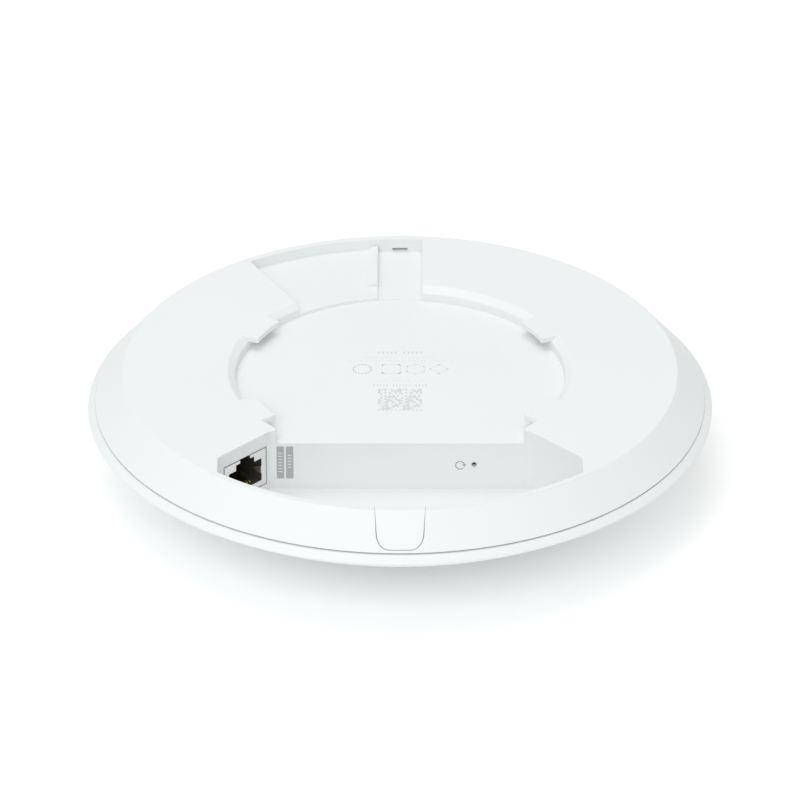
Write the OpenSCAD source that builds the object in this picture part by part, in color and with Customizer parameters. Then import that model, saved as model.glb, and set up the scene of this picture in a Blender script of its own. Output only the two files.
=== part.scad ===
// Round ceiling access point, shown with its rear side up (+Z points to the ceiling).
// The origin is the centre of the flat rear face, which lies in the plane z = 0.

/* [Overall] */
// Largest diameter of the disc, at the rim of the front cover
disc_d = 171.5; // [150:0.5:200]
// Thickness from the rear face to the lowest point of the dome
disc_t = 33; // [30:0.5:40]
// Diameter of the flat rear face
flat_d = 152; // [140:1:160]
// Thickness of the moulded walls
wall = 2; // [1.6:0.1:2.4]

/* [Seam and rim] */
// Depth of the lower edge of the rear housing's flank
seam_z = 8.7; // [8:0.1:10]
// Height of the shadow gap between rear housing and front cover
seam_gap = 0.45; // [0.2:0.05:0.8]
// Depth of the rim's widest point, where the dome begins
rim_z = 11; // [10.8:0.1:11.4]

/* [Bracket recess] */
// Radius of the recess wall
recess_r = 45.2; // [40:0.1:50]
// Depth of the recess floor
recess_z = 4; // [3:0.1:6]
// Width of the bevel round the recess
bevel_w = 2; // [0:0.1:3]
// Depth of the bevel round the recess
bevel_z = 1.65; // [0:0.05:2]
// Inner radius of the bayonet tabs
tab_r = 42.3; // [40:0.1:44]
// Thickness of the bayonet tabs
tab_t = 1.65; // [1:0.05:2]
// Angular width of each bayonet tab
tab_angle = 15.4; // [10:0.1:20]
// Directions of the four bayonet tabs
tab_dirs = [30, 150, 210, 330];

/* [Twist sector and latch channel] */
// Depth of the sector in which the bracket's arm turns
sector_z = 3.1; // [2:0.1:4]
// Outer radius of the sector
sector_r = 74; // [70:0.1:75]
// Direction of the sector's left wall
sector_dir = 119; // [110:1:130]
// Half width of the bracket's arm, by which the left wall is set off
arm_half = 7.5; // [5:0.1:10]
// Half width of the latch channel
channel_half = 6.25; // [5:0.05:8]
// Depth of the latch channel
channel_z = 3.8; // [3:0.1:5]
// Width of the latch slot in the flank
slot_w = 4.5; // [3:0.1:6]
// Height of the latch slot in the flank
slot_h = 0.85; // [0.6:0.05:1.2]

/* [Cable bay] */
// Depth of the bay floor
bay_z = 18; // [15:0.5:20]
// Depth at which the rising bay floor meets the near wall
bay_near_z = 12.9; // [11:0.1:13.2]
// Radius of the bay's near wall
bay_r = 74.3; // [70:0.1:75]
// Half width of the bay at its widest
bay_half = 48.5; // [40:0.1:50]
// Distance of the bay's straight far wall from the centre
bay_far = 34.6; // [30:0.1:40]
// Half width of the straight far wall
bay_far_half = 34.75; // [30:0.1:40]
// Radius of the two corners at the ends of the far wall
bay_round = 2.4; // [0.5:0.1:3]

/* [Cable outlet] */
// Half width of the outlet at the rear face
outlet_top = 6.46; // [5:0.01:8]
// Half width of the outlet where its corners begin
outlet_low = 6.15; // [5:0.01:8]
// Depth of the outlet
outlet_z = 8; // [6:0.1:8.5]
// Corner radius of the outlet
outlet_r = 3.2; // [2:0.1:5]
// Gap round the outlet's cover
outlet_gap = 0.25; // [0.1:0.05:0.4]

/* [Network jack] */
// Width of the jack
jack_w = 15.5; // [15:0.1:16.5]
// Height of the jack
jack_h = 11.1; // [10.5:0.1:13.5]
// Depth of the jack behind the bay wall
jack_l = 17; // [15:0.5:22]
// Width of the plug opening
port_w = 12.2; // [11.7:0.1:12.4]
// Height of the plug opening
port_h = 6.8; // [6.6:0.1:7.2]
// Depth of the plug cavity
port_l = 13.5; // [12:0.1:15]
// Gap round the jack in its cut-out
jack_gap = 0.35; // [0.2:0.05:0.6]

/* [Board and light] */
// Depth of the main board's rear face
board_z = 15.6; // [14:0.1:16]
// Thickness of the main board
board_t = 1.6; // [1:0.1:2]
// Radius of the main board
board_r = 69; // [66:0.5:70]
// Inner radius of the light ring
ring_in = 19.6; // [15:0.1:25]
// Outer radius of the light ring
ring_out = 21.6; // [16:0.1:28]

/* [Hidden] */
$fn = 96;
big = 100;                        // longer than any cut needs
rim_r = disc_d / 2;
dome_power = 2.9;                 // how full the dome is towards its rim
dome_wall = 2.2;                  // upright thickness of the dome
flat_r = flat_d / 2;
flank_run = 7.6;                  // how far the flank widens from the flat to the seam
skirt_in = 80.2;                  // skirt of the rear housing inside the rim
skirt_out = 81.8;
skirt_z = 11.6;
cover_in = 82;                    // inside of the cover's rim
snap_count = 8;
board_low = board_z + board_t;    // depth of the board's front face
bay_corner = -48.75;              // far ends of the angled walls
bay_turn = atan((-bay_far - bay_corner) / (bay_half - bay_far_half));
jack_x = -(bay_far_half + bay_half) / 2 + 0.15;
jack_y = (-bay_far + bay_corner) / 2 + 0.15;
jack_zc = 10;                     // depth of the jack's centre
port_low = -jack_h / 2 + 1.65;    // lower edge of the plug opening, from the jack's centre
key_wide = 6.8;                   // latch keyway: wide step and narrow step
key_wide_z = jack_h / 2 - 0.95;
key_slim = 3.7;
foil = 0.4;                       // sheet of the jack's shell
reset_x = 20;
reset_z = 10.6;
reset_r = 0.75;
can_z = 19.5;                     // depth of the shields' flat tops
spreader_z = 20.3;
spreader_t = 1.1;
spreader_r = 54;
screw_r = 1.2;
pilot_r = 1.25;
hole_r = 1.4;
board_posts = [[58, 22], [-58, 24], [58, -24], [-62, 6], [20, 58]];
spreader_posts = [[38, 32], [-42, 26], [8, 49]];
floor_half = 33.4;                // half width of the recess floor where it meets the bay
bay_bend = 54;                    // radius at which the bay floor starts to rise
post_r = 3;
cpu_at = [36, 0];
radio_at = [[-36, 2], [-8, 34]];
low_at = [43, 4];
high_at = [21, 34];
white = [0.95, 0.96, 0.96];
silver = [0.78, 0.79, 0.8];
black = [0.08, 0.08, 0.09];

// Height of the dome's outer and inner surface at radius r.
function outer_z(r) = -rim_z - (disc_t - rim_z) * (1 - pow(r / rim_r, dome_power));
function inner_z(r) = outer_z(r) + dome_wall;
function arc_points(cx, cy, r, a0, a1, n) =
    [for (i = [0:n]) let (a = a0 + (a1 - a0) * i / n) [cx + r * cos(a), cy + r * sin(a)]];

// Solid of the rear housing's outside, moved inwards by d.
module flank_solid(d) {
    rotate_extrude() polygon([[0, 0], [flat_r - d * 1.33, 0],
        [flat_r - d * 1.33 + flank_run, -seam_z], [skirt_in, -seam_z], [skirt_in, -skirt_z],
        [0, -skirt_z]]);
}

// Plan of the cable bay, grown outwards by g, with round corners beside the far wall.
module bay_plan(g) {
    u = g * tan(45 - bay_turn / 2);
    r = bay_round + g;
    cx = bay_far_half - bay_round * tan(bay_turn / 2);
    cy = g - bay_far - r;
    intersection() {
        circle(r = bay_r + g);
        polygon(concat(arc_points(-cx, cy, r, 90, 90 + bay_turn, 6),
            [[-bay_half - g, bay_corner + u], [-bay_half - g, -big], [bay_half + g, -big],
             [bay_half + g, bay_corner + u]], arc_points(cx, cy, r, 90 - bay_turn, 90, 6)));
    }
}

// Space of the cable bay, grown outwards by g at its walls and by f below its floor.
module bay_space(g, f) {
    rise = (bay_z - bay_near_z) / (bay_r - bay_bend);
    intersection() {
        translate([0, 0, -bay_z - f]) linear_extrude(bay_z + f + (f > 0 ? 0 : 1)) bay_plan(g);
        rotate_extrude() polygon([[0, 2], [big, 2], [big, rise * (big - bay_bend) - bay_z - f],
            [bay_bend, -bay_z - f], [0, -bay_z - f]]);
    }
}

// Plan of the twist sector, grown outwards by g.
module sector_plan(g) {
    off = arm_half + g;
    foot = [-off * sin(sector_dir), off * cos(sector_dir)];
    along = [cos(sector_dir), sin(sector_dir)];
    intersection() {
        circle(r = sector_r + g);
        polygon([foot + 30 * along, foot + 90 * along, [channel_half + g, 90],
            [channel_half + g, 30]]);
    }
}

// U-shaped outline of the cable outlet in the XZ plane, grown by g.
module outlet_plan(g) {
    r = outlet_r + g;
    cx = outlet_low - outlet_r;
    cz = -outlet_z + outlet_r;
    polygon(concat([[outlet_top + g, 3], [outlet_top + g, 0]],
        arc_points(cx, cz, r, 0, -90, 8), arc_points(-cx, cz, r, -90, -180, 8),
        [[-outlet_top - g, 0], [-outlet_top - g, 3]]));
}

// The outlet's outline as a prism through the near flank.
module outlet_prism(g) {
    translate([0, -60, 0]) rotate([90, 0, 0]) linear_extrude(35) outlet_plan(g);
}

// Puts its children at the jack's face, +X out of the socket and +Y along the bay wall.
module at_jack() {
    translate([jack_x, jack_y, -jack_zc]) rotate([0, 0, bay_turn - 90]) children();
}

// Stepped outline of the plug opening, grown by g, in the local YZ plane.
module port_plan(g) {
    translate([-port_w / 2 - g, port_low - g]) square([port_w + 2 * g, port_h + 2 * g]);
    translate([-key_wide / 2 - g, 0]) square([key_wide + 2 * g, key_wide_z + g]);
    translate([-key_slim / 2 - g, 0]) square([key_slim + 2 * g, jack_h / 2 + 1]);
}

// The plug opening as a cut of the given depth behind the jack's face.
module port_cut(depth) {
    translate([-depth, 0, 0]) rotate([90, 0, 90]) linear_extrude(depth + 1) port_plan(0);
}

// Box with its centre given in plan, standing from z0 up to z1.
module block(at, size, z0, z1) {
    translate([at[0] - size[0] / 2, at[1] - size[1] / 2, z0])
        cube([size[0], size[1], z1 - z0]);
}

// Upright round post or hole.
module post(at, r, z0, z1) {
    translate([at[0], at[1], z0]) cylinder(r = r, h = z1 - z0, $fn = 48);
}

module housing_shell() {
    rotate_extrude() polygon([[0, 0], [flat_r, 0], [flat_r + flank_run, -seam_z],
        [skirt_out, -seam_z], [skirt_out, -skirt_z], [skirt_in, -skirt_z],
        [skirt_in, -seam_z + 0.8], [flat_r - 0.9, -wall], [0, -wall]]);
}

module housing_walls() {
    // cup of the bracket recess
    translate([0, 0, -recess_z - wall]) cylinder(r = recess_r + bevel_w + 0.2, h = recess_z + wall);
    // pockets of the twist sector and the latch channel
    translate([0, 0, -sector_z - 1.8]) linear_extrude(sector_z + 1.8) sector_plan(1.8);
    translate([-channel_half - 1.8, 40, -channel_z - 1.8])
        cube([2 * channel_half + 3.6, 35, channel_z + 1.8]);
    // cable bay
    bay_space(1.8, 1.6);
    // solid wall behind the latch slot, and the thin pad outside it
    intersection() {
        flank_solid(0);
        translate([-7, 73, -7]) cube([14, 20, 6.5]);
    }
    intersection() {
        flank_solid(-0.22);
        translate([-5.6, 73, -5.9]) cube([11.4, 20, 4.9]);
    }
    // duct between the bay wall and the flank, round the cable outlet
    intersection() {
        flank_solid(0);
        difference() {
            outlet_prism(1.6);
            cylinder(r = bay_r + 0.2, h = big, center = true);
        }
    }
    // screw posts
    for (p = board_posts) post(p, post_r, -board_z, -wall / 2);
    for (p = spreader_posts) post(p, post_r, -board_z, -wall / 2);
}

module housing_cuts() {
    // bracket recess with its bevel
    translate([0, 0, -recess_z]) cylinder(r = recess_r, h = recess_z + 1);
    rotate_extrude() polygon([[0, -bevel_z], [recess_r, -bevel_z], [recess_r + bevel_w, 0],
        [recess_r + bevel_w, 1], [0, 1]]);
    // the floor runs on to the cable bay
    translate([-floor_half, -bay_far - 1, -recess_z])
        cube([2 * floor_half, 8, recess_z + 1]);
    // twist sector and latch channel
    translate([0, 0, -sector_z]) linear_extrude(sector_z + 1) sector_plan(0);
    intersection() {
        translate([-channel_half, 40, -channel_z]) cube([2 * channel_half, 40, channel_z + 1]);
        cylinder(r = sector_r, h = big, center = true);
    }
    // cable bay
    bay_space(0, 0);
    // cable outlet
    outlet_prism(outlet_gap);
    // pocket for the lip of the outlet's cover
    translate([-4.4, -80.2, -11]) cube([8.8, 1.6, 5]);
    // jack
    at_jack() translate([-3, -jack_w / 2 - jack_gap, -jack_h / 2 - jack_gap])
        cube([4, jack_w + 2 * jack_gap, jack_h + 2 * jack_gap]);
    // reset pinhole
    translate([reset_x, -bay_far - 1, -reset_z]) rotate([-90, 0, 0])
        cylinder(r = reset_r, h = 4, $fn = 48);
    // latch slot with round ends
    translate([0, 72, -channel_z + slot_h / 2 + 0.05]) rotate([-90, 0, 0]) {
        translate([-slot_w / 2 + slot_h / 2, -slot_h / 2, 0])
            cube([slot_w - slot_h, slot_h, 12]);
        for (s = [-1, 1]) translate([s * (slot_w - slot_h) / 2, 0, 0])
            cylinder(r = slot_h / 2, h = 12, $fn = 32);
    }
    // windows for the cover's snap teeth
    for (i = [0:snap_count - 1]) rotate([0, 0, (i + 0.5) * 360 / snap_count])
        translate([skirt_in - 1, -4.2, -11]) cube([3, 8.4, 1]);
    // pilot holes of the screws
    for (p = board_posts) post(p, pilot_r, -board_z - 1, -board_z + 8);
    for (p = spreader_posts) post(p, pilot_r, -board_z - 1, -board_z + 8);
}

// White moulded rear shell with the bracket recess, cable bay and screw posts.
module rear_housing() color(white) {
    difference() {
        union() {
            housing_shell();
            housing_walls();
        }
        housing_cuts();
    }
    for (d = tab_dirs) rotate([0, 0, d - tab_angle / 2]) rotate_extrude(angle = tab_angle)
        translate([tab_r, -tab_t]) square([recess_r + bevel_w + 0.1 - tab_r, tab_t]);
    // detent rib with its ramp, at the channel's edge
    translate([0, 73.5, 0]) rotate([90, 0, 0]) linear_extrude(22)
        polygon([[-9.6, -sector_z - 0.1], [-7.4, -1.9], [-channel_half, -1.9],
            [-channel_half, -sector_z - 0.1]]);
}

// White moulded dome with its rim, snap teeth and the collar round the light ring.
module front_cover() color(white) {
    lip = -seam_z - seam_gap;
    collar = ring_out + 0.15;
    outer = [for (i = [0:24]) let (r = rim_r + (collar - rim_r) * i / 24) [r, outer_z(r)]];
    inner = [for (i = [0:24]) let (r = collar + 1.5 + (79.7 - collar) * i / 24)
        [r, inner_z(r)]];
    rotate_extrude() polygon(concat(
        [[cover_in, lip], [rim_r - 1.8, lip], [rim_r - 0.3, 0.4 - rim_z]],
        outer, [[collar, -19], [collar + 1.5, -19]], inner, [[cover_in, -12]]));
    for (i = [0:snap_count - 1]) rotate([0, 0, (i + 0.5) * 360 / snap_count])
        translate([cover_in - 1.5, -4, -10.85]) cube([2, 8, 0.7]);
}

// Small U-shaped cover that closes the cable outlet; it lifts out along +Z.
module cable_outlet_cover() color(white) {
    intersection() {
        outlet_prism(0);
        difference() {
            flank_solid(0);
            translate([0, 0, -wall]) flank_solid(wall * 0.5);
            cylinder(r = bay_r, h = big, center = true);
        }
    }
    // lip that hooks behind the flank below the outlet
    translate([-4, -79.9, -9.6]) cube([8, 1, 3.4]);
}

// Clear light guide that carries the status light to the front.
module light_ring() color([0.85, 0.9, 0.95, 0.7])
    rotate_extrude() polygon([[ring_in, -17.9], [ring_out, -17.9],
        [ring_out, outer_z(ring_out)], [ring_in, outer_z(ring_in)]]);

// Opaque cup between the board and the centre disc; it holds the light ring.
module ring_holder() color(white)
    rotate_extrude() polygon([[16.8, -board_low - 0.1], [ring_in - 0.1, -board_low - 0.1],
        [ring_in - 0.1, -30.6], [12, -30.6], [12, -29.2], [16.8, -29.2]]);

// Blank round disc in the middle of the dome.
module centre_disc() color(white)
    rotate_extrude() polygon(concat([[0, -30.7], [ring_in - 0.15, -30.7]],
        [for (i = [0:5]) let (r = (ring_in - 0.15) * (5 - i) / 5) [r, outer_z(r)]]));

// Round circuit board, cut out round the cable bay.
module main_board() color([0.1, 0.28, 0.2]) difference() {
    translate([0, 0, -board_low]) cylinder(r = board_r, h = board_t);
    translate([0, 0, -board_low - 1]) linear_extrude(board_t + 2) bay_plan(2.3);
    for (p = board_posts) post(p, hole_r, -board_low - 1, -board_z + 1);
    for (p = spreader_posts) post(p, hole_r, -board_low - 1, -board_z + 1);
}

// Stamped aluminium plate under the board, with three drawn feet.
module heat_spreader() color(silver) difference() {
    union() {
        translate([0, 0, -spreader_z - spreader_t]) cylinder(r = spreader_r, h = spreader_t);
        for (p = spreader_posts) post(p, 3.4, -spreader_z - 0.1, -board_low);
    }
    post([0, 0], 24, -30, -10);
    for (p = spreader_posts) post(p, hole_r, -30, -10);
    for (s = [-1, 1]) {
        block([s * (low_at[0] + 5.6), low_at[1]], [3, 3], -30, -10);
        block([s * (high_at[0] + 5), high_at[1]], [3, 3], -30, -10);
    }
}

// Soft pads that carry heat from the chips through the shields to the spreader.
module thermal_pads() color([0.55, 0.6, 0.68]) {
    block(cpu_at, [16, 16], -spreader_z, -can_z);
    block(cpu_at, [14, 14], -can_z + foil, -board_low - 1.2);
    for (p = radio_at) {
        block(p, [12, 12], -spreader_z, -can_z);
        block(p, [8, 8], -can_z + foil, -board_low - 1);
    }
}

// Stamped can, open towards the board.
module shield_can(at, size) difference() {
    block(at, size, -can_z, -board_low);
    block(at, [size[0] - 2 * foil, size[1] - 2 * foil], -can_z + foil, -board_low + 1);
}

module processor_shield() color(silver) shield_can(cpu_at, [22, 36]);

module radio_shields() color(silver) for (p = radio_at) shield_can(p, [22, 20]);

module processor_chip() color(black) block(cpu_at, [15, 15], -board_low - 1.2, -board_low);

module memory_chips() color(black) for (s = [-1, 1])
    block(cpu_at + [0, 13 * s], [12, 7], -board_low - 1, -board_low);

module radio_chips() color(black) for (p = radio_at)
    block(p, [9, 9], -board_low - 1, -board_low);

// Folded metal shell of the network jack, with its stepped face.
module jack_shell() color(silver) at_jack() difference() {
    translate([-jack_l, -jack_w / 2, -jack_h / 2]) cube([jack_l, jack_w, jack_h]);
    translate([-jack_l - 1, -jack_w / 2 + foil, -jack_h / 2 + foil])
        cube([jack_l + 1 - foil, jack_w - 2 * foil, jack_h - 2 * foil]);
    port_cut(2);
}

// Black plastic body inside the jack, with the plug cavity and the contact slots.
module jack_insert() color(black) at_jack() difference() {
    translate([-jack_l, -jack_w / 2 + foil, -jack_h / 2 + foil])
        cube([jack_l - foil, jack_w - 2 * foil, jack_h - 2 * foil]);
    port_cut(port_l);
    contact_row(0.06);
}

// Eight sloping spring contacts of the plug cavity, grown by g, in the jack's frame.
module contact_row(g) {
    for (i = [0:7]) translate([-2.2, (i - 3.5) * 1.02, port_low + 0.1])
        rotate([0, 10, 0]) translate([-12.5, -0.18 - g, -0.18 - g])
            cube([11.5 + (g > 0 ? 1 : 0), 0.36 + 2 * g, 0.36 + 2 * g]);
}

module jack_contacts() color([0.85, 0.68, 0.3]) at_jack() contact_row(0);

module network_transformer() color(black)
    block([-58, -10], [10, 16], -board_z, -board_z + 6);

// Wound transformer of the power supply: a core round a bobbin.
module power_transformer() color([0.25, 0.24, 0.23]) {
    block([-24, 4], [15, 13], -board_z, -board_z + 7.6);
    block([-24, 4], [10, 17], -board_z + 0.6, -board_z + 6.6);
}

module power_inductors() color([0.3, 0.3, 0.31])
    for (p = [[-2, -14], [8, -14], [22, 16]]) block(p, [6.4, 6.4], -board_z, -board_z + 4.2);

// Can capacitors on square bases.
module capacitors() color([0.75, 0.76, 0.78])
    for (p = [[-8, 16], [2, 16], [12, 16], [-40, -14], [-40, -4]]) {
        block(p, [8.3, 8.3], -board_z, -board_z + 1.2);
        post(p, 4, -board_z + 1.1, -board_z + 6.6);
    }

// Side-acting reset switch behind the pinhole.
module reset_switch() color(black) difference() {
    translate([reset_x - 3.2, -31, -board_z]) cube([6.4, 4, 7.9]);
    translate([reset_x, -31.5, -reset_z]) rotate([-90, 0, 0])
        cylinder(r = 1.65, h = 3.3, $fn = 48);
}

// Sprung button of the reset switch.
module reset_button() color(black)
    translate([reset_x, -32.4, -reset_z]) rotate([-90, 0, 0])
        cylinder(r = 1.6, h = 3.8, $fn = 48);

module status_leds() color([0.95, 0.95, 0.8])
    for (a = [0:45:315]) rotate([0, 0, a]) block([20.6, 0], [1.2, 2], -board_low - 0.7, -board_low);

// Stamped antenna: a plate on a folded leg that stands on the spreader, and a feed strip.
module antenna(at, size, foot, feed) {
    face = -spreader_z - spreader_t;
    block(at, size, face - 2.2, face - 1.8);
    block(foot, [0.4, 5], face - 2, face);
    block(feed, [1.2, 1.2], face - 2, -board_low);
}

module low_band_antennas() color(silver) for (s = [-1, 1])
    antenna([s * low_at[0], low_at[1]], [13, 18], [s * (low_at[0] + 6.3), low_at[1] - 6],
        [s * (low_at[0] + 5.6), low_at[1]]);

module high_band_antennas() color(silver) for (s = [-1, 1])
    antenna([s * high_at[0], high_at[1]], [13, 9], [s * (high_at[0] - 6.3), high_at[1]],
        [s * (high_at[0] + 5), high_at[1]]);

// Pan-head screw, head down, with its shank pointing up from z0.
module screw(at, z0, length) {
    post(at, screw_r, z0 - 0.3, z0 + length);
    difference() {
        post(at, 2.3, z0 - 1.6, z0);
        block(at, [2.8, 0.5], z0 - 2, z0 - 0.9);
        block(at, [0.5, 2.8], z0 - 2, z0 - 0.9);
    }
}

module board_screws() color(silver) for (p = board_posts) screw(p, -board_low, 8);

module spreader_screws() color(silver)
    for (p = spreader_posts) screw(p, -spreader_z - spreader_t, 12);

rear_housing();
front_cover();
cable_outlet_cover();
light_ring();
ring_holder();
centre_disc();
main_board();
heat_spreader();
thermal_pads();
processor_shield();
radio_shields();
processor_chip();
memory_chips();
radio_chips();
jack_shell();
jack_insert();
jack_contacts();
network_transformer();
power_transformer();
power_inductors();
capacitors();
reset_switch();
reset_button();
status_leds();
low_band_antennas();
high_band_antennas();
board_screws();
spreader_screws();
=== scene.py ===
import bpy, bmesh, math
from mathutils import Matrix, Vector


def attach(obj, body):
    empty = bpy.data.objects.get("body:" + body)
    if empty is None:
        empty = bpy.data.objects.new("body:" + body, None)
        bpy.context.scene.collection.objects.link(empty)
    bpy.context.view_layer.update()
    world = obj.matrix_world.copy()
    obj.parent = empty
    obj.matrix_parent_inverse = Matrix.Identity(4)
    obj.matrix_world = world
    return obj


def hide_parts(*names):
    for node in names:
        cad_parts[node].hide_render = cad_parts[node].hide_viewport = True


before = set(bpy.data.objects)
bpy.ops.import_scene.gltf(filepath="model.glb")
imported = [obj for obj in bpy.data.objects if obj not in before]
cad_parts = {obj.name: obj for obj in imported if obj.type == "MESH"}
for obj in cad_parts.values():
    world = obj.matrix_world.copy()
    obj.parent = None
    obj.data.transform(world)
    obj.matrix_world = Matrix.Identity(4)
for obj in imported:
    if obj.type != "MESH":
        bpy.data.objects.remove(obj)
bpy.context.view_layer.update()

# ---- camera -----------------------------------------------------------------------------
# A long lens 1.6 m away looks over the cable bay onto the rear face, 29.6 degrees above the
# plane of the disc, and aims 9 mm below the centre of that face.
elevation = math.radians(29.57)
camera_distance = 1.6
camera_data = bpy.data.cameras.new("camera")
camera_data.lens = 262.9
camera_data.sensor_width = 36
camera_data.clip_start, camera_data.clip_end = 0.1, 20
camera = bpy.data.objects.new("camera", camera_data)
camera.location = (0, -camera_distance * math.cos(elevation),
                   camera_distance * math.sin(elevation))
aim = Vector((0, -0.009 * math.sin(elevation), -0.009 * math.cos(elevation)))
camera.rotation_euler = (aim - camera.location).to_track_quat("-Z", "Y").to_euler()
bpy.context.scene.collection.objects.link(camera)
bpy.context.scene.camera = camera


# ---- rear housing -----------------------------------------------------------------------
# Injection-moulded white ABS. The tool is spark-eroded to a very fine matt grain, and the
# edges leave the mould with a radius of about a quarter of a millimetre.
def colour(code):
    """An sRGB hex colour as linear RGBA."""
    parts = [int(code[i:i + 2], 16) / 255 for i in (1, 3, 5)]
    return tuple(c / 12.92 if c <= 0.04045 else ((c + 0.055) / 1.055) ** 2.4
                 for c in parts) + (1.0,)


def per_mm(size):
    """Texture scale of a pattern that repeats about every size millimetres."""
    return 1000.0 / size


def add(tree, kind, inputs=None, **settings):
    """Adds a node. An input given as a socket is linked, and any other is set."""
    made = tree.nodes.new(kind)
    for name, value in settings.items():
        setattr(made, name, value)
    for name, value in (inputs or {}).items():
        socket = made.inputs[name]
        if made.bl_idname == "ShaderNodeMix" and made.data_type == "RGBA" and name in "AB":
            socket = made.inputs[6 if name == "A" else 7]
        if isinstance(value, bpy.types.NodeSocket):
            tree.links.new(value, socket)
        else:
            socket.default_value = value
    return made


def finish(name, pale, deep, drift, grain, rough, lift=0.0, **sockets):
    """A material whose colour drifts between two tones every drift mm, with a surface
    grain of that size in mm, a range of roughness and a height of lift mm."""
    made = bpy.data.materials.new(name)
    made.use_nodes = True
    tree = made.node_tree
    shader = tree.nodes["Principled BSDF"]
    for socket, value in sockets.items():
        shader.inputs[socket.replace("_", " ")].default_value = value
    place = add(tree, "ShaderNodeTexCoord").outputs["Object"]
    clouds = add(tree, "ShaderNodeTexNoise", {"Vector": place, "Scale": per_mm(drift),
                 "Detail": 2.0})
    tone = add(tree, "ShaderNodeMix", data_type="RGBA")
    tone.inputs[6].default_value, tone.inputs[7].default_value = colour(deep), colour(pale)
    tree.links.new(clouds.outputs["Fac"], tone.inputs[0])
    tree.links.new(tone.outputs[2], shader.inputs["Base Color"])
    texture = add(tree, "ShaderNodeTexNoise", {"Vector": place, "Scale": per_mm(grain),
                  "Detail": 3.0})
    gloss = add(tree, "ShaderNodeMapRange", {"Value": texture.outputs["Fac"],
                "To Min": rough[0], "To Max": rough[1]})
    tree.links.new(gloss.outputs["Result"], shader.inputs["Roughness"])
    if lift:
        relief = add(tree, "ShaderNodeBump", {"Height": texture.outputs["Fac"],
                     "Distance": lift / 1000, "Strength": 0.6})
        tree.links.new(relief.outputs["Normal"], shader.inputs["Normal"])
    return made


# ABS, an even and slightly cool white; the eroded grain is about 0.1 mm, and it is drawn at
# 0.4 mm so that it shows as a faint softness on the sheen
abs_white = finish("moulded_abs_white", "#eff2f2", "#ebeeee", 60, 0.4, (0.42, 0.52),
                   lift=0.012, IOR=1.53)


def rounded_copy(node, name, angle, width=0.0, where=None):
    """The frame's shape of a node, shaded smooth up to an angle, with its outward edges
    rounded to width mm where a place in mm allows it."""
    same_point, same_plane, corner = 2e-6, math.radians(0.05), math.radians(30)
    mesh = bmesh.new()
    mesh.from_mesh(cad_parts[node].data)
    bmesh.ops.remove_doubles(mesh, verts=mesh.verts, dist=same_point)
    bmesh.ops.dissolve_limit(mesh, angle_limit=same_plane, verts=mesh.verts, edges=mesh.edges)
    chosen = mesh.edges.layers.float.new("bevel_weight_edge")
    for edge in mesh.edges:
        outward = edge.is_manifold and edge.calc_face_angle_signed() > corner
        edge[chosen] = float(outward and width > 0
                             and all(where(v.co * 1000) for v in edge.verts))
    thing = solid(name, mesh)
    if width:
        bevel = thing.modifiers.new("edge", "BEVEL")
        bevel.width, bevel.segments, bevel.limit_method = width / 1000, 2, "WEIGHT"
        bevel.use_clamp_overlap = False
    settle(thing)
    return shade(thing, angle)


def solid(name, made):
    """An object from a bmesh."""
    mesh = bpy.data.meshes.new(name)
    made.to_mesh(mesh)
    made.free()
    thing = bpy.data.objects.new(name, mesh)
    bpy.context.scene.collection.objects.link(thing)
    return thing


def settle(thing):
    """Turns the object's modifiers into plain mesh."""
    bpy.context.view_layer.update()
    whole = thing.evaluated_get(bpy.context.evaluated_depsgraph_get())
    mesh = bpy.data.meshes.new_from_object(whole)
    thing.modifiers.clear()
    thing.data = mesh


def shade(thing, angle):
    """Shades smooth, apart from edges sharper than the angle."""
    mesh = bmesh.new()
    mesh.from_mesh(thing.data)
    for face in mesh.faces:
        face.smooth = True
    for edge in mesh.edges:
        edge.smooth = edge.is_manifold and edge.calc_face_angle() < math.radians(angle)
    mesh.to_mesh(thing.data)
    mesh.free()
    even = thing.modifiers.new("even", "WEIGHTED_NORMAL")
    even.keep_sharp = True
    settle(thing)
    return thing


def fit(thing, body, material, slot, *stands_for):
    """Gives the piece its material and its body, and hides the frame pieces that it stands for."""
    thing.data.materials.clear()
    thing.data.materials.append(material)
    if stands_for:
        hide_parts(*stands_for)
    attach(thing, body)
    return thing


# edges are rounded down to 2.5 mm below the rear face, but near the outlet, where the cone is
# cut up, only at the face itself
outlet_side, face_only, shallow = -52, -0.3, -2.5
housing = rounded_copy(
    "rear_housing", "rear_housing_shell", 33, 0.28,
    lambda place: place.z > (face_only if place.y < outlet_side else shallow))
fit(housing, "housing", abs_white, "white_plastic", "rear_housing")


# ---- cable outlet cover -----------------------------------------------------------------
# A small white ABS cover, pushed down into the U-shaped outlet until its lip hooks behind
# the flank. A gap of a quarter of a millimetre runs round it.
outlet_cover = rounded_copy("cable_outlet_cover", "cable_outlet_shell", 20)
fit(outlet_cover, "outlet_cover", abs_white, "white_plastic", "cable_outlet_cover")


# ---- front cover ------------------------------------------------------------------------
# The dome that faces the room, moulded in the same white ABS. Its rim stands a little
# proud of the rear housing, and a collar inside it carries the light ring.
def lathe(profile, turns=300):
    """Closed outline of (radius, height) in mm, turned round the Z axis."""
    made = bmesh.new()
    rings = []
    for i in range(turns):
        a = 2 * math.pi * i / turns
        rings.append([made.verts.new((r * math.cos(a) / 1000, r * math.sin(a) / 1000, z / 1000))
                      for r, z in profile])
    for i in range(turns):
        here, there = rings[i], rings[(i + 1) % turns]
        for k in range(len(profile)):
            m = (k + 1) % len(profile)
            made.faces.new((here[k], there[k], there[m], here[m]))
    bmesh.ops.remove_doubles(made, verts=made.verts, dist=1e-7)
    bmesh.ops.dissolve_degenerate(made, edges=made.edges, dist=1e-7)
    bmesh.ops.recalc_face_normals(made, faces=made.faces)
    return made


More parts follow.
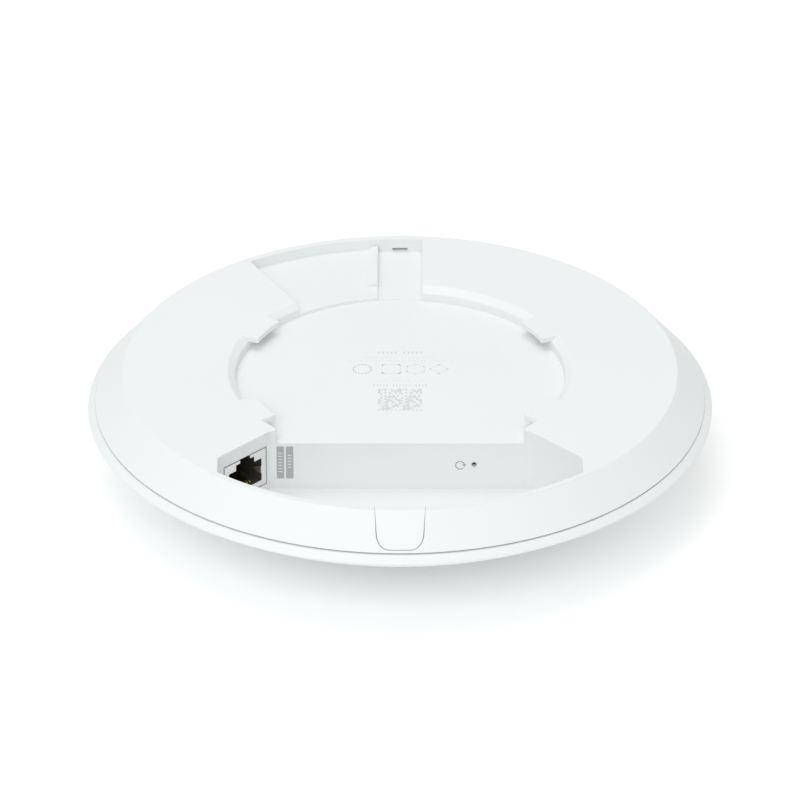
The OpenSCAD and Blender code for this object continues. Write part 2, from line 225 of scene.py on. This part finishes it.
rim_r, rim_z, low_z = 85.75, -11.0, -33.0
dome_power, dome_wall = 2.9, 2.2
collar_r, collar_wall, collar_top = 21.75, 1.5, -19
skirt_r, skirt_in = 82, 79.7


def dome(r):
    """Height of the dome's outer surface at a radius."""
    return rim_z + (low_z - rim_z) * (1 - (r / rim_r) ** dome_power)


def along(start, end, count, height):
    """Profile points between two radii."""
    radii = [start + (end - start) * i / count for i in range(count + 1)]
    return [(r, height(r)) for r in radii]


rim = [(skirt_r, -9.4), (82.25, -9.15), (83.75, -9.15), (84.0, -9.22), (85.33, -10.48),
       (85.52, -10.67), (85.62, -10.8), (85.66, -10.92), (85.64, -11.04)]
cover = solid("front_cover_shell", lathe(
    rim + along(rim_r - 0.2, collar_r + 0.3, 48, dome)
    + [(collar_r + 0.08, dome(collar_r) + 0.08), (collar_r, dome(collar_r) + 0.3)]
    + [(collar_r, collar_top), (collar_r + collar_wall, collar_top)]
    + along(collar_r + collar_wall, skirt_in, 40, lambda r: dome(r) + dome_wall)
    + [(skirt_r, -12)]))
shade(cover, 35)
fit(cover, "housing", abs_white, "white_plastic", "front_cover")


# ---- network jack -----------------------------------------------------------------------
# A standard 8-contact jack: a folded nickel-plated sheet shell round a black PBT body. The
# shell's face has the stepped opening, and a spring finger cut from its side presses on the
# plug. Gold-plated wires slope back over the body's floor.
def prism(outline, low, high, turn=Matrix.Identity(4)):
    """Outline in mm, drawn up from low to high, then placed by a matrix."""
    made = bmesh.new()
    bottom = [made.verts.new((x / 1000, y / 1000, low / 1000)) for x, y in outline]
    top = [made.verts.new((x / 1000, y / 1000, high / 1000)) for x, y in outline]
    made.faces.new(bottom)
    made.faces.new(top)
    for i in range(len(outline)):
        k = (i + 1) % len(outline)
        made.faces.new((bottom[i], bottom[k], top[k], top[i]))
    bmesh.ops.recalc_face_normals(made, faces=made.faces)
    bmesh.ops.transform(made, matrix=turn, verts=made.verts)
    return made


def oblong(x0, x1, y0, y1):
    """Corners of a rectangle."""
    return [(x0, y0), (x1, y0), (x1, y1), (x0, y1)]


def carve(thing, tools):
    """Cuts away each bmesh in turn."""
    used = []
    for tool in tools:
        cutter = solid("tool", tool)
        step = thing.modifiers.new("step", "BOOLEAN")
        step.object, step.operation, step.solver = cutter, "DIFFERENCE", "EXACT"
        used.append(cutter)
    settle(thing)
    for cutter in used:
        bpy.data.objects.remove(cutter)


def soften(thing, width):
    """Rounds every edge sharper than 30 degrees to width mm."""
    bevel = thing.modifiers.new("edge", "BEVEL")
    bevel.width, bevel.segments, bevel.limit_method = width / 1000, 2, "ANGLE"
    bevel.angle_limit = math.radians(30)
    settle(thing)
    return shade(thing, 50)


# the jack's own frame: +X out of the socket, +Y along the bay wall, +Z to the ceiling
bay_far, bay_far_half, bay_half, bay_corner, jack_z = 34.6, 34.75, 48.5, -48.75, 10.0
wall_turn = math.atan2(-bay_far - bay_corner, bay_half - bay_far_half)
jack_at = (-(bay_far_half + bay_half) / 2 + 0.15, (bay_corner - bay_far) / 2 + 0.15, -jack_z)
jack_turn = (Matrix.Translation(Vector(jack_at) / 1000)
             @ Matrix.Rotation(wall_turn - math.pi / 2, 4, "Z"))
# an outline of (along the wall, height), drawn out of the socket
outward = jack_turn @ Matrix(((0, 0, 1, 0), (1, 0, 0, 0), (0, 1, 0, 0), (0, 0, 0, 1)))
jack_half, jack_tall, jack_deep, sheet = 7.75, 5.55, 17.0, 0.4
port_half, port_low, port_high = 6.1, 1.65 - jack_tall, 2.9


def port_outline(g, top):
    """Stepped plug opening, grown by g; its narrow keyway reaches up to top."""
    half = [(port_half + g, port_low - g), (port_half + g, port_high + g), (3.4 + g, port_high + g),
            (3.4 + g, 4.6 + g), (1.85 + g, 4.6 + g), (1.85 + g, top)]
    return half + [(-y, z) for y, z in reversed(half)]


# nickel over brass sheet, rolled: a warm light grey metal with a soft broad reflection
nickel_sheet = finish("nickel_plated_sheet", "#f2f1f0", "#e9e8e7", 8, 0.5, (0.3, 0.42),
                      Metallic=1.0)
shell = solid("jack_shell_sheet", prism(oblong(-jack_half, jack_half, -jack_tall, jack_tall),
                                        -jack_deep, 0, outward))
carve(shell, [prism(oblong(-jack_half + sheet, jack_half - sheet, -jack_tall + sheet,
                           jack_tall - sheet), -jack_deep - 1, -sheet, outward),
              prism(port_outline(0, jack_tall + 1), -2, 1, outward)])
soften(shell, 0.12)
fit(shell, "housing", nickel_sheet, "jack_sheet", "jack_shell")

# spring fingers: each is bent in from the edge of the opening and narrows to its tip
finger_sheet, finger_lean = 0.22, 0.16
for side in (-1, 1):
    finger = bmesh.new()
    outline = [(-0.1, 0.38), (-0.1, -1.8), (-1.6, -1.5), (-2.9, -1.25), (-2.9, -0.55),
               (-1.6, 0.0)]
    faces = []
    for off in (0.0, finger_sheet):
        faces.append([finger.verts.new(Vector((
            x, side * (port_half + 0.06 + finger_lean * x - off), z)) / 1000)
            for x, z in outline])
        finger.faces.new(faces[-1])
    for i in range(len(outline)):
        k = (i + 1) % len(outline)
        finger.faces.new((faces[0][i], faces[0][k], faces[1][k], faces[1][i]))
    bmesh.ops.recalc_face_normals(finger, faces=finger.faces)
    bmesh.ops.transform(finger, matrix=jack_turn, verts=finger.verts)
    spring = soften(solid("jack_finger_" + ("left" if side < 0 else "right"), finger), 0.06)
    fit(spring, "housing", nickel_sheet, "jack_sheet")

# PBT with carbon black, moulded: a dark brownish grey, dull and slightly uneven
black_pbt = finish("moulded_black_pbt", "#4b4745", "#3a3735", 4, 0.5, (0.5, 0.62), IOR=1.55)
body_half, body_tall = 7.33, 5.13
insert = solid("jack_body", prism(oblong(-body_half, body_half, -body_tall, body_tall),
                                  -jack_deep, -0.42, outward))
wire_count, wire_pitch, first_wire, groove_half = 8, 1.02, -3.57, 0.25
wire_rows = [first_wire + wire_pitch * i for i in range(wire_count)]
grooves = [prism(oblong(y - groove_half, y + groove_half, -5.0, port_low + 0.2), -12.6, -1.4,
                 outward) for y in wire_rows]
carve(insert, [prism(port_outline(0.05, 6.5), -13.5, 1, outward)] + grooves)
soften(insert, 0.06)
fit(insert, "housing", black_pbt, "black_plastic", "jack_insert")

# phosphor bronze wire under a flash of gold
gold_wire = finish("gold_plated_wire", "#e6c77a", "#d9b660", 6, 0.3, (0.2, 0.3), Metallic=1.0)
route = [(-1.7, -4.5), (-2.3, -4.05), (-3.2, -3.75), (-8.0, -2.9), (-12.4, -2.1), (-13.3, -2.0)]
wires = bpy.data.curves.new("jack_wires", "CURVE")
wire_radius = 0.2
wires.dimensions, wires.bevel_depth, wires.bevel_resolution = "3D", wire_radius / 1000, 3
for y in wire_rows:
    wire = wires.splines.new("BEZIER")
    wire.bezier_points.add(len(route) - 1)
    for point, (x, z) in zip(wire.bezier_points, route):
        point.co = jack_turn @ (Vector((x, y, z)) / 1000)
        point.handle_left_type = point.handle_right_type = "AUTO"
contacts = bpy.data.objects.new("jack_contact_wires", wires)
bpy.context.scene.collection.objects.link(contacts)
fit(contacts, "housing", gold_wire, "contact_gold", "jack_contacts")


# ---- printed marks ----------------------------------------------------------------------
# Pad-printed in a pale grey ink, a few hundredths of a millimetre thick. The marks are
# plain: rows of strokes, four geometric outlines, a dot pattern, two blank tags beside the
# jack and a turning arrow at the reset hole.
def bow(cx, cy, r, start, end, count):
    """Points on an arc, in mm and degrees."""
    return [(cx + r * math.cos(math.radians(start + (end - start) * i / count)),
             cy + r * math.sin(math.radians(start + (end - start) * i / count)))
            for i in range(count + 1)]


def merged(name, shapes):
    """One object from several separate bmeshes."""
    whole = bmesh.new()
    for shape in shapes:
        part = bpy.data.meshes.new("part")
        shape.to_mesh(part)
        shape.free()
        whole.from_mesh(part)
        bpy.data.meshes.remove(part)
    return solid(name, whole)


def stroke(outline, width, low, high, turn=Matrix.Identity(4), closed=False):
    """A line of ink along points, as one thin block for each stretch."""
    blocks = []
    for (x0, y0), (x1, y1) in zip(outline, outline[1:] + (outline[:1] if closed else [])):
        run = math.hypot(x1 - x0, y1 - y0)
        nx, ny = -(y1 - y0) / run * width / 2, (x1 - x0) / run * width / 2
        ex, ey = (x1 - x0) / run * width / 4, (y1 - y0) / run * width / 4
        blocks.append(prism([(x0 - ex + nx, y0 - ey + ny), (x0 - ex - nx, y0 - ey - ny),
                             (x1 + ex - nx, y1 + ey - ny), (x1 + ex + nx, y1 + ey + ny)],
                            low, high, turn))
    return blocks


def rounded_box(x0, x1, y0, y1, r, count=5):
    """Outline of a rectangle with corners of radius r, each in count steps."""
    return (bow(x1 - r, y1 - r, r, 0, 90, count) + bow(x0 + r, y1 - r, r, 90, 180, count)
            + bow(x0 + r, y0 + r, r, 180, 270, count) + bow(x1 - r, y0 + r, r, 270, 360, count))


# turns an outline of (x, height) upright, so that it is drawn towards -Y
facing = Matrix.Rotation(math.pi / 2, 4, "X")
floor_low, floor_top = -4.02, -3.98

# two-part ink, dull; a pale one on the floor, and a mid grey one on the bay wall
pale_ink = finish("pad_print_ink_pale", "#d9dcdd", "#d4d7d8", 5, 0.3, (0.6, 0.7), IOR=1.5)
faint_ink = finish("pad_print_ink_faint", "#e4e8e9", "#e1e5e6", 5, 0.3, (0.6, 0.7), IOR=1.5)
grey_ink = finish("pad_print_ink_grey", "#b3b6b7", "#afb2b3", 5, 0.3, (0.55, 0.65), IOR=1.5)

# rows of strokes: height on the floor, tallness, half the row's length, thickness
rows = [(15.2, 1.25, 6.3, 0.42), (-3.1, 1.15, 7.3, 0.3)]
fine_rows = [(12.5, 1.0, 9.7, 0.26), (10.6, 1.0, 14.5, 0.28), (1.5, 0.9, 3.0, 0.26),
             (-0.4, 1.0, 6.5, 0.26)]


def strokes_in(lines):
    """Rows of short upright strokes, in groups of five or six."""
    blocks = []
    for y, tall, half, thick in lines:
        pitch = 2.3 * thick + 0.2
        count = int(2 * half / pitch) + 1
        for i in range(count):
            x = (i - (count - 1) / 2) * pitch
            if i % 7 != 5:
                blocks.append(prism(oblong(x - thick / 2, x + thick / 2, y - tall / 2, y + tall / 2),
                                    floor_low, floor_top))
    return blocks


# the dot pattern: a square of 21 by 21 cells, 12 mm across, with neighbours drawn as one bar
code_size, cells, code_top, cell_fill = 12.0, 21, -4.9, 0.98
cell = code_size / cells
dots = []
for j in range(cells):
    start = None
    for i in range(cells + 1):
        inked = i < cells and (i * 7 + j * 11 + i * j * 3 + i * i * (j % 3)) % 10 < 5
        if inked and start is None:
            start = i
        if not inked and start is not None:
            dots.append(prism(oblong(start * cell - code_size / 2, i * cell - code_size / 2,
                                     code_top - (j + cell_fill) * cell, code_top - j * cell),
                              floor_low, floor_top))
            start = None
fit(merged("print_code_and_rows", strokes_in(rows) + dots), "housing", pale_ink,
    "white_plastic")

outlines = [bow(-10.4, 5.95, 2.5, 0, 337.5, 15), rounded_box(-4.9, 0.1, 3.5, 8.4, 0.5, 2),
            bow(4.3, 5.95, 2.7, 30, 330, 5), [(8.2, 5.95), (10.7, 3.4), (13.2, 5.95), (10.7, 8.5)]]
symbols = [block for line in outlines
           for block in stroke(line, 0.34, floor_low, floor_top, closed=True)]
fit(merged("print_fine_rows", strokes_in(fine_rows) + symbols), "housing", faint_ink,
    "white_plastic")

wall_low, wall_high = 34.58, 34.63
reset_x, reset_z = 20.0, 10.6
tags = [prism(rounded_box(x, x + 2.0, -14.9, -4.9, 0.35), wall_low, wall_high, facing)
        for x in (-33.25, -30.75)]
arrow = stroke(bow(16.2, -10.8, 1.2, 20, 320, 20), 0.24, wall_low, wall_high, facing)
arrow.append(prism([(16.75, -10.5), (17.95, -10.5), (17.35, -11.3)], wall_low, wall_high, facing))
fit(merged("print_bay_wall", tags + arrow), "housing", grey_ink, "white_plastic")
bars = [prism(oblong(x, x + 1.0, z, z + 0.32), 34.62, 34.645, facing)
        for x, low, count in ((-32.75, -12.9, 7), (-30.25, -11.6, 5))
        for z in (low + 0.95 * k for k in range(count))]
fit(merged("print_tag_bars", bars), "housing", faint_ink, "white_plastic")


# ---- reset switch -----------------------------------------------------------------------
# A side-acting switch on the board, right behind the pinhole, with a moulded black button.
button = solid("reset_button_cap", lathe(
    [(0, 28.6), (1.6, 28.6), (1.6, 32.0), (1.48, 32.3), (1.2, 32.4), (0, 32.4)], 48))
button.data.transform(Matrix.Translation((reset_x / 1000, 0, -reset_z / 1000)) @ facing)
shade(button, 35)
fit(button, "reset_button", black_pbt, "button_plastic", "reset_button")


def dress(material, *names):
    """Gives frame pieces that keep their own shape a material."""
    for name in names:
        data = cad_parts[name].data
        if not data.materials:
            data.materials.append(material)
        for i in range(len(data.materials)):
            data.materials[i] = material


dress(black_pbt, "reset_switch")


# ---- main board and its parts -----------------------------------------------------------
# A round board of glass-epoxy laminate under green solder mask, with the power supply and
# the network transformer on its rear side and the chips under tinned shields on its front.
solder_mask = finish("solder_mask_green", "#1f5a3c", "#17462f", 12, 0.8, (0.25, 0.4),
                     lift=0.01, IOR=1.52)
dress(solder_mask, "main_board")
# tin over steel sheet, stamped: a soft grey metal with a faint cloudiness
tinned_sheet = finish("tinned_steel_sheet", "#c9c9c5", "#b9b9b4", 9, 0.6, (0.3, 0.45),
                      Metallic=1.0)
dress(tinned_sheet, "processor_shield", "radio_shields", "low_band_antennas",
      "high_band_antennas")
epoxy_resin = finish("moulded_epoxy_resin", "#2a2a2c", "#202022", 5, 0.15, (0.55, 0.7),
                     lift=0.006, IOR=1.58)
dress(epoxy_resin, "processor_chip", "memory_chips", "radio_chips", "network_transformer")
sintered_ferrite = finish("sintered_ferrite", "#454240", "#34312f", 3, 0.2, (0.5, 0.65),
                          lift=0.01, IOR=2.2)
dress(sintered_ferrite, "power_transformer", "power_inductors")
drawn_can = finish("drawn_aluminium_can", "#d4d6d8", "#c6c8ca", 4, 0.3, (0.22, 0.32),
                   Metallic=1.0)
dress(drawn_can, "capacitors")
silicone_pad = finish("silicone_pad", "#97a3b4", "#8894a6", 6, 0.25, (0.7, 0.85), lift=0.01,
                      IOR=1.41)
dress(silicone_pad, "thermal_pads")
led_lens = finish("clear_epoxy_lens", "#f4f4e2", "#ecebd2", 2, 0.3, (0.1, 0.16), IOR=1.54,
                  Transmission_Weight=0.5)
dress(led_lens, "status_leds")


# ---- heat spreader and screws -----------------------------------------------------------
# A stamped plate of rolled aluminium under the shields, held by zinc-plated pan-head screws.
rolled_aluminium = finish("rolled_aluminium", "#cfd1d3", "#c2c4c7", 14, 0.5, (0.28, 0.42),
                          Metallic=1.0, Anisotropic=0.4)
dress(rolled_aluminium, "heat_spreader")
zinc_steel = finish("zinc_plated_steel", "#b9bcc2", "#a9acb3", 3, 0.3, (0.25, 0.38),
                    Metallic=1.0)
dress(zinc_steel, "board_screws", "spreader_screws")


# ---- status light -----------------------------------------------------------------------
# A ring of milky polycarbonate carries the light from the diodes to the front. It stands on
# a white cup, which a blank white disc closes in the middle of the dome.
ring_in, ring_out = 19.6, 21.6
milky_guide = finish("milky_polycarbonate", "#eef5f8", "#e4eef2", 10, 0.4, (0.3, 0.38),
                     IOR=1.585, Transmission_Weight=0.35)
ring = solid("light_ring_guide", lathe(
    [(ring_in, -17.9), (ring_out, -17.9), (ring_out, dome(ring_out) + 0.2),
     (ring_out - 0.06, dome(ring_out) + 0.06), (ring_out - 0.2, dome(ring_out)),
     (ring_in + 0.2, dome(ring_in)), (ring_in + 0.06, dome(ring_in) + 0.06),
     (ring_in, dome(ring_in) + 0.2)]))
fit(shade(ring, 35), "housing", milky_guide, "light_guide", "light_ring")
disc_r = ring_in - 0.15
middle = solid("centre_disc_plate", lathe(
    [(0, -30.7), (disc_r, -30.7), (disc_r, dome(disc_r) + 0.25),
     (disc_r - 0.07, dome(disc_r) + 0.08)] + along(disc_r - 0.25, 0, 12, dome)))
fit(shade(middle, 35), "housing", abs_white, "white_plastic", "centre_disc")
dress(abs_white, "ring_holder")


# ---- floor and light --------------------------------------------------------------------
# A plain opal acrylic light table, faintly lit from below. A large soft light stands in
# front and a little to the left, another hangs above, and the even white room fills the
# shadows.
table = solid("table", prism([(-4000, -4000), (4000, -4000), (4000, 4000), (-4000, 4000)],
                             low_z - 20, low_z - 0.05))
table_top = finish("opal_acrylic", "#fcfdfd", "#fafbfb", 900, 40, (0.28, 0.3), IOR=1.49,
                   Emission_Color=(1, 1, 1, 1), Emission_Strength=0.13)
table.data.materials.append(table_top)

room = bpy.data.worlds.new("room")
bpy.context.scene.world = room
room.use_nodes = True
room.node_tree.nodes["Background"].inputs["Color"].default_value = (1, 1, 1, 1)
room.node_tree.nodes["Background"].inputs["Strength"].default_value = 0.64


def softbox(name, place, size, watts):
    """A soft rectangular light, in metres, that shines at the origin."""
    light = bpy.data.lights.new(name, "AREA")
    light.shape, light.size, light.size_y, light.energy = "RECTANGLE", *size, watts
    lamp = bpy.data.objects.new(name, light)
    lamp.location = place
    lamp.rotation_euler = (-lamp.location).to_track_quat("-Z", "Y").to_euler()
    bpy.context.scene.collection.objects.link(lamp)


softbox("front_light", (-0.42, -1.3, 1.15), (1.3, 1.1), 9.5)
softbox("top_light", (-0.2, 0.3, 2), (1.5, 1.5), 11.5)
bpy.context.scene.view_settings.view_transform = "Standard"
